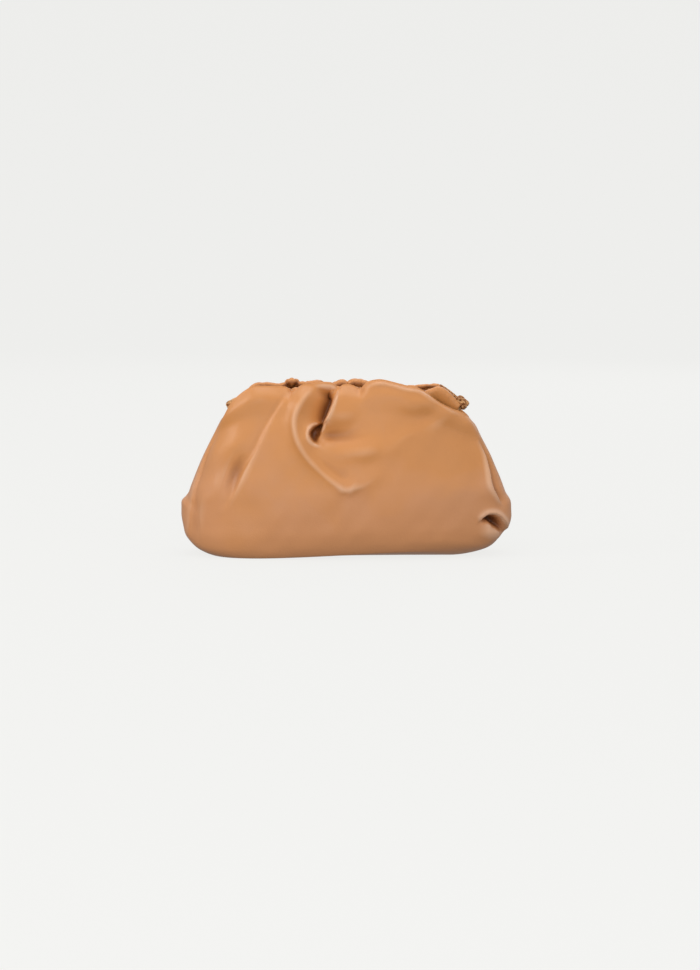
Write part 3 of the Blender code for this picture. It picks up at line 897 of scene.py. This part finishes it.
def rim_path(x, table, side):
    """Axis of a rim: x from hinge to hinge, z from its table's top less its radius, y by its slope."""
    top, radius = read_table(table, x)
    place = np.abs(x - FRAME_SHIFT)
    down = ease((place - RAIL_HALF) / (HINGE_HALF - RAIL_HALF))
    y = side * (BAR_Y + (PIN_Y - BAR_Y) * down)
    return np.stack([x, y, top - radius], axis=1), radius


def tube_frames(path):
    """Two unit vectors across a path at each of its points, one level and one upright."""
    along = unit(np.gradient(path, axis=0))
    level = unit(np.cross(along, (0.0, 0.0, 1.0)))
    return level, np.cross(level, along)


def rim_grid(table, grooves, side, skirt):
    """A gathered roll of leather over a rim: radius, pinched by slanting grooves, round its axis.

    r = radius * (1 - sum of depth * exp(-|(x - place - slant * cos(turn)) / width| ** 1.5)), with
    fine gathers between them, and the lower half drawn down by skirt where the leather hangs. The
    marks paint shade into the leather's colour: they go down in the grooves and on the side towards
    the mouth.
    """
    x = FRAME_SHIFT + np.linspace(-HINGE_HALF, HINGE_HALF, RIM_STEPS)
    path, radius = rim_path(x, table, side)
    level, upright = tube_frames(path)
    turn = np.arange(RIM_SIDES) * 2.0 * math.pi / RIM_SIDES
    c, s = np.cos(turn)[None, :], np.sin(turn)[None, :]
    pinch = np.zeros((RIM_STEPS, RIM_SIDES))
    for place, depth, width, slant in grooves:
        pinch += depth * np.exp(-(np.abs((x[:, None] - place - slant * c) / width) ** 1.5))
    gather = 0.025 * np.sin(2.1 * x[:, None] + 3.0 * c + 1.3 * s) * np.sin(0.31 * x[:, None] + 1.0)
    inside = np.clip((HINGE_HALF - np.abs(x - FRAME_SHIFT)) / RIM_END, 0.0, 1.0)
    rounded = np.sqrt(np.maximum(1.0 - (1.0 - inside) ** 2, 0.03))
    r = (radius * rounded)[:, None] * (1.0 - np.minimum(pinch, 0.6) + gather)
    across = c[..., None] * level[:, None] + s[..., None] * upright[:, None]
    grid = path[:, None] + r[..., None] * across
    grid[..., 2] -= read_table(skirt, x)[0][:, None] * np.clip(-s, 0.0, 1.0) ** 1.5
    # Painted shade on the roll's lower side towards the mouth, and in its grooves
    mouthward = np.clip(side * c, 0.0, 1.0) * np.clip(1.2 - 2.0 * s, 0.0, 1.0)
    return grid, -6.0 * pinch - 3.5 * mouthward


def strand_grid(centre, radius, sides=8):
    """A round strand with blunt ends: a circle carried along its centre line."""
    along = unit(np.gradient(centre, axis=0))
    guide = np.where(np.abs(along[:, 1:2]) < 0.8, (0.0, 1.0, 0.0), (1.0, 0.0, 0.0))
    first = unit(np.cross(guide, along))
    second = np.cross(along, first)
    turn = np.arange(sides) * 2.0 * math.pi / sides
    ring = np.cos(turn)[:, None] * first[:, None] + np.sin(turn)[:, None] * second[:, None]
    return centre[:, None] + np.broadcast_to(radius, (len(centre),))[:, None, None] * ring


def braid_grids(path, spread, strand, turns):
    """Three braided strands along a path: across = spread * sin(p), out = 0.5 * spread * sin(2 * p)."""
    t = np.linspace(0.0, 1.0, len(path))
    level, upright = tube_frames(path)
    grids = []
    for k in range(3):
        phase = 2.0 * math.pi * (turns * t + k / 3.0)
        across = spread * np.sin(phase)
        out = 0.5 * spread * np.sin(2.0 * phase)
        grids.append(strand_grid(path + across[:, None] * level + out[:, None] * upright, strand))
    return grids


def head_line(centre, axis, radius, strand):
    """Middle line of a woven ball knot: one strand goes three times round and crosses itself.

    It turns round the axis by t, and with p = KNOT_BIGHTS * t / 3 it lies KNOT_HALF * sin(p) along
    the axis and radius * sqrt(1 - 0.45 * sin(p) ** 2) + 0.55 * strand * sin(2 * p) out from it.
    """
    t = np.linspace(0.0, 6.0 * math.pi, KNOT_STEPS, endpoint=False)
    side = np.array([0.0, 1.0, 0.0])
    phase = KNOT_BIGHTS * t / 3.0
    along = KNOT_HALF * np.sin(phase)
    out = radius * np.sqrt(1.0 - 0.45 * np.sin(phase) ** 2) + 0.55 * strand * np.sin(2.0 * phase)
    spoke = np.cos(t)[:, None] * side + np.sin(t)[:, None] * np.cross(axis, side)
    return centre + along[:, None] * axis + out[:, None] * spoke


class Sock:
    """A node's output socket. A sum with it adds a Math node."""

    def __init__(self, tree, socket):
        self.tree = tree
        self.socket = socket

    def _math(self, operation, first, second):
        return self.tree.add("ShaderNodeMath", {"operation": operation}, {0: first, 1: second})

    def __add__(self, other):
        return self._math("ADD", self, other)

    __radd__ = __add__

    def __sub__(self, other):
        return self._math("SUBTRACT", self, other)

    def __rsub__(self, other):
        return self._math("SUBTRACT", other, self)

    def __mul__(self, other):
        return self._math("MULTIPLY", self, other)

    __rmul__ = __mul__

    def __truediv__(self, other):
        return self._math("DIVIDE", self, other)

    def __rtruediv__(self, other):
        return self._math("DIVIDE", other, self)

    def clamped(self):
        return self.tree.add("ShaderNodeClamp", {}, {"Value": self, "Min": 0.0, "Max": 1.0})


class Tree:
    """The nodes of a material or a world, added one at a time with their settings and inputs."""

    def __init__(self, owner):
        owner.use_nodes = True
        self.owner = owner
        self.nodes = owner.node_tree.nodes
        self.links = owner.node_tree.links

    def add(self, kind, settings, inputs, output=0):
        node = self.nodes.new(kind)
        for key, value in settings.items():
            setattr(node, key, value)
        for key, value in inputs.items():
            self.feed(node.inputs[key], value)
        return Sock(self, node.outputs[output])

    def feed(self, socket, value):
        if isinstance(value, Sock):
            self.links.new(value.socket, socket)
        else:
            socket.default_value = value

    def set(self, **values):
        """Feeds the Principled shader's sockets, named with _ for a space."""
        for key, value in values.items():
            self.feed(self.nodes["Principled BSDF"].inputs[key.replace("_", " ")], value)
        return self.owner

    def place(self, kind="Object"):
        return self.add("ShaderNodeTexCoord", {}, {}, kind)

    def noise(self, place, scale, detail, roughness, distortion=0.0):
        inputs = {"Vector": place, "Scale": scale, "Detail": detail, "Roughness": roughness}
        return self.add("ShaderNodeTexNoise", {}, {**inputs, "Distortion": distortion})

    def mix(self, factor, first, second):
        settings = {"data_type": "RGBA", "clamp_factor": True}
        return self.add("ShaderNodeMix", settings, {0: factor, 6: first, 7: second}, 2)

    def bump(self, height, distance, strength, normal=None):
        inputs = {"Height": height, "Distance": distance, "Strength": strength}
        if normal is not None:
            inputs["Normal"] = normal
        return self.add("ShaderNodeBump", {}, inputs)


def material_tree(name, colour):
    """A new material's tree, with the colour that plain views show."""
    material = bpy.data.materials.new(name)
    material.diffuse_color = (*colour, 1.0)
    return Tree(material)


def linear(red, green, blue):
    """A colour given as 0 to 255 on a screen, as linear light."""
    tone = np.array([red, green, blue]) / 255.0
    tone = np.where(tone <= 0.04045, tone / 12.92, ((tone + 0.055) / 1.055) ** 2.4)
    return tuple(map(float, tone))


def leather(name, finish):
    """Smooth soft leather: two tans in broad clouds, painted shade in the hollows, a painted highlight
    on the crests, a fine grain.
    """
    tree = material_tree(name, finish.tan)
    place = tree.place()
    brown_and_shade = (*finish.brown_and_shade, 1.0)
    clouds = tree.noise(place, 17.0, 3.0, 0.55, 0.4)
    low = tree.add("ShaderNodeSeparateXYZ", {}, {"Vector": place}, "Z")
    clouds = ((clouds - 0.36) / 0.28 + (0.055 - low) / 0.05).clamped()
    colour = tree.mix(clouds, (*finish.tan, 1.0), (*finish.rosy, 1.0))
    mottle = tree.noise(place, 95.0, 4.0, 0.6)
    colour = tree.mix((0.08 * mottle).clamped(), colour, brown_and_shade)
    height = tree.add("ShaderNodeAttribute", {"attribute_name": "relief"}, {}, "Fac")
    # Painted shade: hollows of the relief darken towards the brown, the deepest towards a dark brown
    shade_share = (-0.28 * height - 0.14).clamped()
    pit_shade = (-0.25 * height - 0.9).clamped()
    # Painted highlight: crests get a paler tone
    highlight_share = (0.85 * height - 0.10).clamped()
    colour = tree.mix(0.88 * shade_share, colour, brown_and_shade)
    colour = tree.mix(0.70 * pit_shade, colour, (*finish.pit_shade, 1.0))
    colour = tree.mix(0.50 * highlight_share, colour, (*finish.painted_highlight, 1.0))
    pores = {"Vector": place, "Scale": 1.0 / finish.grain_size, "Randomness": 1.0}
    pores = tree.add("ShaderNodeTexVoronoi", {"feature": "F1"}, pores, "Distance")
    wrinkle = tree.noise(place, 420.0, 5.0, 0.6)
    grain = tree.bump(pores, finish.grain_depth, 0.5)
    grain = tree.bump(wrinkle, finish.grain_depth * 1.6, 0.35, grain)
    rough = finish.roughness - 0.06 + 0.12 * tree.noise(place, 60.0, 3.0, 0.5)
    return tree.set(
        Base_Color=colour, Roughness=rough, Normal=grain,
        Coat_Weight=0.10, Coat_Roughness=0.26, Specular_IOR_Level=0.5,
    )


def woven(name, finish):
    """Braided leather strands: straw tan with brown flecks of noise."""
    tree = material_tree(name, finish.woven)
    place = tree.place()
    fleck = ((tree.noise(place, 520.0, 3.0, 0.6) - 0.35) / 0.3).clamped()
    colour = tree.mix(fleck, (*finish.brown_and_shade, 1.0), (*finish.woven, 1.0))
    grain = tree.bump(tree.noise(place, 900.0, 3.0, 0.6), 0.00015, 0.6)
    return tree.set(Base_Color=colour, Roughness=0.55 + 0.1 * fleck, Normal=grain)


def brass(name):
    """Plain brass with a soft uneven polish."""
    tree = material_tree(name, (0.62, 0.46, 0.22))
    cloud = tree.noise(tree.place(), 700.0, 3.0, 0.5)
    colour = tree.mix(cloud, (0.62, 0.46, 0.22, 1.0), (0.48, 0.34, 0.16, 1.0))
    return tree.set(Base_Color=colour, Metallic=1.0, Roughness=0.30 + 0.15 * cloud)


def paper(name, stage):
    """Seamless pale paper that glows a little, so that it stays even behind the object."""
    tree = material_tree(name, stage.paper)
    tone = (*stage.paper, 1.0)
    fibre = tree.noise(tree.place(), 300.0, 3.0, 0.6)
    own = tree.add("ShaderNodeBsdfDiffuse", {}, {"Color": tone, "Normal": tree.bump(fibre, 0.0001, 0.2)})
    glow = tree.add("ShaderNodeEmission", {}, {"Color": tone, "Strength": stage.paper_glow})
    mixed = tree.add("ShaderNodeMixShader", {}, {0: stage.paper_share, 1: own, 2: glow})
    tree.feed(tree.nodes["Material Output"].inputs["Surface"], mixed)
    return tree.owner


class PouchSettings(bpy.types.PropertyGroup):
    wall: bpy.props.FloatProperty(
        name="Wall", description="Thickness of the leather", default=0.0019,
        min=0.001, max=0.003, unit="LENGTH", subtype="DISTANCE")
    fold_strength: bpy.props.FloatProperty(
        name="Fold strength", description="How strongly the leather is folded",
        default=1.0, min=0.0, max=1.5, subtype="FACTOR")


class LeatherSettings(bpy.types.PropertyGroup):
    tan: bpy.props.FloatVectorProperty(
        name="Tan", description="Orange tan of most of the leather", subtype="COLOR",
        size=3, default=linear(206, 138, 77), min=0.0, max=1.0)
    rosy: bpy.props.FloatVectorProperty(
        name="Rosy tan", description="Pinker tan of its clouds", subtype="COLOR",
        size=3, default=linear(203, 140, 92), min=0.0, max=1.0)
    # Brown of the painted shade in creases and hollows, also of the random mottle and of the strap's
    # flecks
    brown_and_shade: bpy.props.FloatVectorProperty(
        name="Crease", description="Brown of the creases", subtype="COLOR",
        size=3, default=linear(126, 68, 27), min=0.0, max=1.0)
    # Dark brown of the painted shade in the deepest hollows
    pit_shade: bpy.props.FloatVectorProperty(
        name="Pit", description="Dark brown of the deepest hollows", subtype="COLOR",
        size=3, default=linear(70, 32, 10), min=0.0, max=1.0)
    # Paler tone painted on the ridges as a highlight
    painted_highlight: bpy.props.FloatVectorProperty(
        name="Ridge", description="Paler tone of the ridges", subtype="COLOR",
        size=3, default=linear(238, 200, 170), min=0.0, max=1.0)
    woven: bpy.props.FloatVectorProperty(
        name="Woven strands", description="Straw tan of the braided strap", subtype="COLOR",
        size=3, default=linear(222, 170, 112), min=0.0, max=1.0)
    roughness: bpy.props.FloatProperty(
        name="Roughness", description="Dullness of the leather", default=0.38,
        min=0.0, max=1.0, subtype="FACTOR")
    grain_size: bpy.props.FloatProperty(
        name="Grain size", description="Spacing of the leather's pores", default=0.0009,
        min=0.0003, max=0.003, unit="LENGTH", subtype="DISTANCE")
    grain_depth: bpy.props.FloatProperty(
        name="Grain depth", description="Depth of the leather's pores", default=0.00006,
        min=0.0, max=0.0005, unit="LENGTH", subtype="DISTANCE")


class KnotSettings(bpy.types.PropertyGroup):
    strand: bpy.props.FloatProperty(
        name="Strand", description="Radius of one strand of the strap", default=0.0009,
        min=0.0004, max=0.002, unit="LENGTH", subtype="DISTANCE")
    head: bpy.props.FloatProperty(
        name="Knot", description="Radius of the knot round its axis", default=0.0029,
        min=0.001, max=0.005, unit="LENGTH", subtype="DISTANCE")


class StageSettings(bpy.types.PropertyGroup):
    paper: bpy.props.FloatVectorProperty(
        name="Paper", description="Tone of the floor and backdrop", subtype="COLOR",
        size=3, default=linear(239, 239, 237), min=0.0, max=1.0)
    paper_share: bpy.props.FloatProperty(
        name="Glow share", description="How much of the paper's tone is its own even glow",
        default=0.92, min=0.0, max=1.0, subtype="FACTOR")
    paper_glow: bpy.props.FloatProperty(
        name="Glow", description="Strength of the paper's glow", default=1.02, min=0.0, max=2.0)
    key: bpy.props.FloatProperty(
        name="Key light", description="Power of the soft light on the left",
        default=8.5, min=0.0, max=500.0, unit="POWER")
    top: bpy.props.FloatProperty(
        name="Top light", description="Power of the overhead light", default=7.0,
        min=0.0, max=500.0, unit="POWER")
    glint: bpy.props.FloatProperty(
        name="Glint light", description="Power of the light that only shines on the ridges",
        default=5.0, min=0.0, max=500.0, unit="POWER")
    front: bpy.props.FloatProperty(
        name="Front light", description="Power of the broad light from the front", default=13.0,
        min=0.0, max=500.0, unit="POWER")
    fill: bpy.props.FloatProperty(
        name="Fill light", description="Power of the soft light on the right", default=7.0,
        min=0.0, max=500.0, unit="POWER")
    back: bpy.props.FloatProperty(
        name="Back light", description="Power of the soft light from behind", default=7.0,
        min=0.0, max=500.0, unit="POWER")
    world: bpy.props.FloatProperty(
        name="Ambient", description="Strength of the even light all round", default=0.68,
        min=0.0, max=5.0)
    distance: bpy.props.FloatProperty(
        name="Camera distance", description="From the camera to the object", default=1.96,
        min=0.5, max=6.0, unit="LENGTH", subtype="DISTANCE")
    tilt: bpy.props.FloatProperty(
        name="Camera height", description="Angle at which the camera looks down",
        default=SIGHT_TILT, min=0.0, max=1.5, unit="ROTATION", subtype="ANGLE")


class POUCH_OT_pouch(bpy.types.Operator):
    """Make the folded leather pouch with its rolled edge and lining"""

    bl_idname = "pouchbag.pouch"
    bl_label = "Make pouch"

    def execute(self, context):
        scene = context.scene
        grid, marks = pouch_grid(scene.pouch_settings)
        pouch = closed_mesh("pouch_leather_shell", grid, marks)
        pouch.data.materials.append(leather("Pouch leather fine", scene.leather_settings))
        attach(pouch, "root")
        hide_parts("pouch_body")
        return {"FINISHED"}


class POUCH_OT_rims(bpy.types.Operator):
    """Make the gathered leather over the front and the back rim"""

    bl_idname = "pouchbag.rims"
    bl_label = "Make rims"

    def execute(self, context):
        finish = leather("Gathered leather", context.scene.leather_settings)
        for node, rolls, grooves, side, skirt in (
            ("front_rim", FRONT_ROLLS, FRONT_GROOVES, -1, FRONT_SKIRT),
            ("back_rim", BACK_ROLLS, BACK_GROOVES, 1, BACK_SKIRT),
        ):
            rim = closed_mesh(node + "_leather", *rim_grid(rolls, grooves, side, skirt))
            rim.data.materials.append(finish)
            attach(rim, "root")
            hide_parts(node)
        return {"FINISHED"}


class POUCH_OT_knots(bpy.types.Operator):
    """Make the strap's braided ends and their knots over the hinges"""

    bl_idname = "pouchbag.knots"
    bl_label = "Make strap knots"

    def execute(self, context):
        settings = context.scene.knot_settings
        strand, head = settings.strand / MM, settings.head / MM
        finish = woven("Woven strap", context.scene.leather_settings)
        t = np.linspace(0.0, 1.0, BRAID_STEPS)
        size = 0.55 + 0.45 * t
        for word in ("left", "right"):
            start, centre = np.array(KNOT_ENDS[word])
            path = start + (centre - start) * t[:, None]
            path[:, 2] += BRAID_BOW * np.sin(math.pi * t)
            grids = braid_grids(path, BRAID_SPREAD * size, 0.85 * strand * size, BRAID_TURNS)
            line = head_line(centre, unit(centre - start), head, strand)
            grids.append(strand_grid(line, strand))
            knot = joined_mesh(f"strap_knot_{word}_braid", grids)
            knot.data.materials.append(finish)
            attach(knot, "root")
            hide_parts("strap_knot_" + word)
        return {"FINISHED"}


class POUCH_OT_pins(bpy.types.Operator):
    """Give the two hinge pins their brass"""

    bl_idname = "pouchbag.pins"
    bl_label = "Finish hinge pins"

    def execute(self, context):
        finish = brass("Pin brass")
        for word in ("left", "right"):
            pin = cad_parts["hinge_pin_" + word]
            pin.data.materials.clear()
            pin.data.materials.append(finish)
        return {"FINISHED"}


def stage_grid():
    """A shallow round dish: flat out to DISH_FLAT, then up on a quarter circle and a low wall."""
    turn = np.linspace(0.0, math.pi / 2, 13)[1:]
    flat = np.linspace(0.25, DISH_FLAT, 12)
    radius = np.concatenate([flat, DISH_FLAT + DISH_ROUND * np.sin(turn), [DISH_FLAT + DISH_ROUND]])
    height = np.concatenate([0.0 * flat, DISH_ROUND * (1.0 - np.cos(turn)), [DISH_WALL]])
    angle = np.arange(DISH_SIDES) * 2.0 * math.pi / DISH_SIDES
    across = radius[:, None] * np.cos(angle), radius[:, None] * np.sin(angle)
    return np.stack([*across, np.repeat(height[:, None], DISH_SIDES, axis=1)], axis=-1)


def open_dish(name, grid):
    """An open surface from a grid closed round its columns, with its middle closed to a point."""
    rows, columns, _ = grid.shape
    points = np.concatenate([grid.reshape(-1, 3), [[0.0, 0.0, 0.0]]])
    faces = wrapped_faces(rows, columns)[:, ::-1].tolist()
    faces += fan_faces(rows * columns, 0, columns)[:, ::-1].tolist()
    return new_object(name, points, faces)


def soft_light(name, power):
    """An area light from the table, turned to the object."""
    place, width, height, tone, shines, glossy = LIGHTS[name]
    title = f"{name.capitalize()} light"
    light = bpy.data.lights.new(title, "AREA")
    light.shape = "RECTANGLE"
    light.size, light.size_y = width, height
    light.energy = power
    light.color = tone
    lamp = bpy.data.objects.new(title, light)
    lamp.location = place
    lamp.rotation_euler = (Vector(LIGHTS_AIM) - Vector(place)).to_track_quat("-Z", "Y").to_euler()
    lamp.visible_diffuse = shines
    lamp.visible_glossy = glossy
    bpy.context.scene.collection.objects.link(lamp)


def studio_air(strength):
    """Even light all round, with 0.45 of its strength from below."""
    world = Tree(bpy.data.worlds.new("Studio air"))
    height = world.add("ShaderNodeSeparateXYZ", {}, {"Vector": world.place("Generated")}, "Z")
    background = world.nodes["Background"]
    background.inputs["Color"].default_value = (1.0, 1.0, 1.0, 1.0)
    world.feed(background.inputs["Strength"], strength * (0.45 + 0.55 * (height + 0.35).clamped()))
    return world.owner


def photo_camera(stage):
    """A camera at the photo's angle."""
    lens = bpy.data.cameras.new("Camera")
    lens.sensor_fit = "HORIZONTAL"
    lens.sensor_width = SENSOR
    lens.lens = SENSOR * stage.distance / CAMERA_SPAN
    lens.clip_end = 50.0
    camera = bpy.data.objects.new("Camera", lens)
    back = Vector((0.0, -math.cos(stage.tilt), math.sin(stage.tilt)))
    camera.location = Vector(CAMERA_AIM) + back * stage.distance
    camera.rotation_euler = (math.pi / 2 - stage.tilt, 0.0, 0.0)
    bpy.context.scene.collection.objects.link(camera)
    return camera


class POUCH_OT_stage(bpy.types.Operator):
    """Make the pale floor, the soft lights and the camera"""

    bl_idname = "pouchbag.stage"
    bl_label = "Make studio"

    def execute(self, context):
        scene = context.scene
        stage = scene.stage_settings
        floor = open_dish("studio_floor", stage_grid())
        floor.data.materials.append(paper("Studio paper", stage))
        floor.visible_diffuse = False
        floor.visible_glossy = False
        for name in LIGHTS:
            soft_light(name, getattr(stage, name))
        scene.world = studio_air(stage.world)
        scene.camera = photo_camera(stage)
        scene.view_settings.view_transform = "Standard"
        return {"FINISHED"}


class POUCH_PT_panel(bpy.types.Panel):
    """The pouch bag's sizes, colours and pieces"""

    bl_idname = "POUCH_PT_panel"
    bl_label = "Pouch bag"
    bl_space_type = "VIEW_3D"
    bl_region_type = "UI"
    bl_category = "Pouch bag"

    def draw(self, context):
        layout = self.layout
        for name in SETTINGS:
            group = getattr(context.scene, name)
            box = layout.box()
            for key in group.__annotations__:
                box.prop(group, key)
        for operator in OPERATORS:
            layout.operator(operator.bl_idname)


SETTINGS = {
    "pouch_settings": PouchSettings,
    "leather_settings": LeatherSettings,
    "knot_settings": KnotSettings,
    "stage_settings": StageSettings,
}
OPERATORS = (POUCH_OT_pouch, POUCH_OT_rims, POUCH_OT_knots, POUCH_OT_pins, POUCH_OT_stage)
CLASSES = (*SETTINGS.values(), *OPERATORS, POUCH_PT_panel)


def register():
    for cls in CLASSES:
        bpy.utils.register_class(cls)
    for name, group in SETTINGS.items():
        setattr(bpy.types.Scene, name, bpy.props.PointerProperty(type=group))


def unregister():
    for name in SETTINGS:
        delattr(bpy.types.Scene, name)
    for cls in reversed(CLASSES):
        bpy.utils.unregister_class(cls)


def main():
    register()
    bpy.ops.pouchbag.pouch()
    bpy.ops.pouchbag.rims()
    bpy.ops.pouchbag.knots()
    bpy.ops.pouchbag.pins()
    bpy.ops.pouchbag.stage()


if __name__ == "__main__":
    main()
